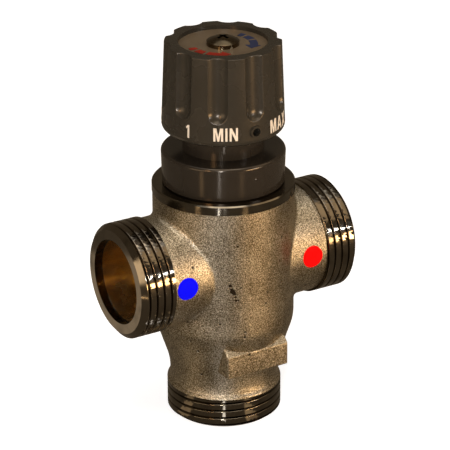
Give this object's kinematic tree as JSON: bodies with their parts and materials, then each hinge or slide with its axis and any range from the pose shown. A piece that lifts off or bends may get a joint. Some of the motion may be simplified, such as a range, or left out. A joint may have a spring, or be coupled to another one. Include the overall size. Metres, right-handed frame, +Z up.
{
  "type": "thermostatic mixing valve",
  "caption": "T-shaped mixing valve with three male pipe ports and a fluted knob; a wax element blends hot and cold water to a set temperature at the outlet.",
  "frame": {"origin": "centre of the bottom port's end face, on which the valve stands", "axes": "+Z up along the valve's axis to the knob; +X from the cold port to the hot port; the knob's eyelet and the index dot face -Y"},
  "size_m": [0.071, 0.0408, 0.1146],
  "materials": {
    "plated_casting": "blasted and nickel plated casting, threads and top ring bright",
    "turned_brass": "turned, bare",
    "fibre_gasket": "pressed fibre",
    "knob_plastic": "moulded, satin, dark grey-brown",
    "dial_plastic": "moulded, smooth",
    "blue_paint": "paint dot",
    "red_paint": "paint dot",
    "blue_print": "pad printed",
    "red_print": "pad printed",
    "plated_screw": "nickel plated",
    "spring_steel": "drawn stainless",
    "seal_rubber": "smooth",
    "slip_plastic": "moulded, smooth",
    "element_copper": "drawn"
  },
  "bodies": {
    "valve_body": {"valve_body": "plated_casting", "bonnet": "turned_brass", "bonnet_gasket": "fibre_gasket", "index_collar": "knob_plastic", "return_spring": "spring_steel", "cold_marker": "blue_paint", "hot_marker": "red_paint"},
    "knob": {"knob": "knob_plastic", "dial_disc": "dial_plastic", "cold_arrow": "blue_print", "hot_arrow": "red_print", "knob_screw": "plated_screw", "spindle": "turned_brass", "lower_spindle_seal": "seal_rubber", "upper_spindle_seal": "seal_rubber", "thrust_washer": "slip_plastic", "spindle_clip": "spring_steel"},
    "feed_nut": {"feed_nut": "turned_brass", "feed_nut_clip": "spring_steel", "overload_spring": "spring_steel"},
    "overload_cap": {"overload_cap": "turned_brass", "element_piston": "spring_steel"},
    "shuttle": {"shuttle": "slip_plastic", "shuttle_seal": "seal_rubber", "sensing_element": "element_copper", "element_clip": "spring_steel"}
  },
  "joints": [
    {"name": "knob_turn", "type": "hinge", "parent": "valve_body", "child": "knob", "pos_m": [0, 0, 0.1], "axis": [0, 0, 1], "range_deg": [0, 324]},
    {"name": "nut_feed", "type": "slide", "parent": "valve_body", "child": "feed_nut", "axis": [0, 0, 1], "range_m": [0, 0.0009], "deforming": ["return_spring"]},
    {"name": "overload_travel", "type": "slide", "parent": "feed_nut", "child": "overload_cap", "axis": [0, 0, 1], "range_m": [0, 0.0015], "stiffness_N_per_m": 400, "springref_m": -0.005, "deforming": ["overload_spring"]},
    {"name": "shuttle_stroke", "type": "slide", "parent": "feed_nut", "child": "shuttle", "axis": [0, 0, 1], "range_m": [-0.0015, 0], "stiffness_N_per_m": 1200, "springref_m": 0.006, "deforming": ["return_spring"]}
  ],
  "couplings": [
    {"joint": "knob_turn", "follows": "nut_feed", "rad_per_m": 6283.2}
  ]
}
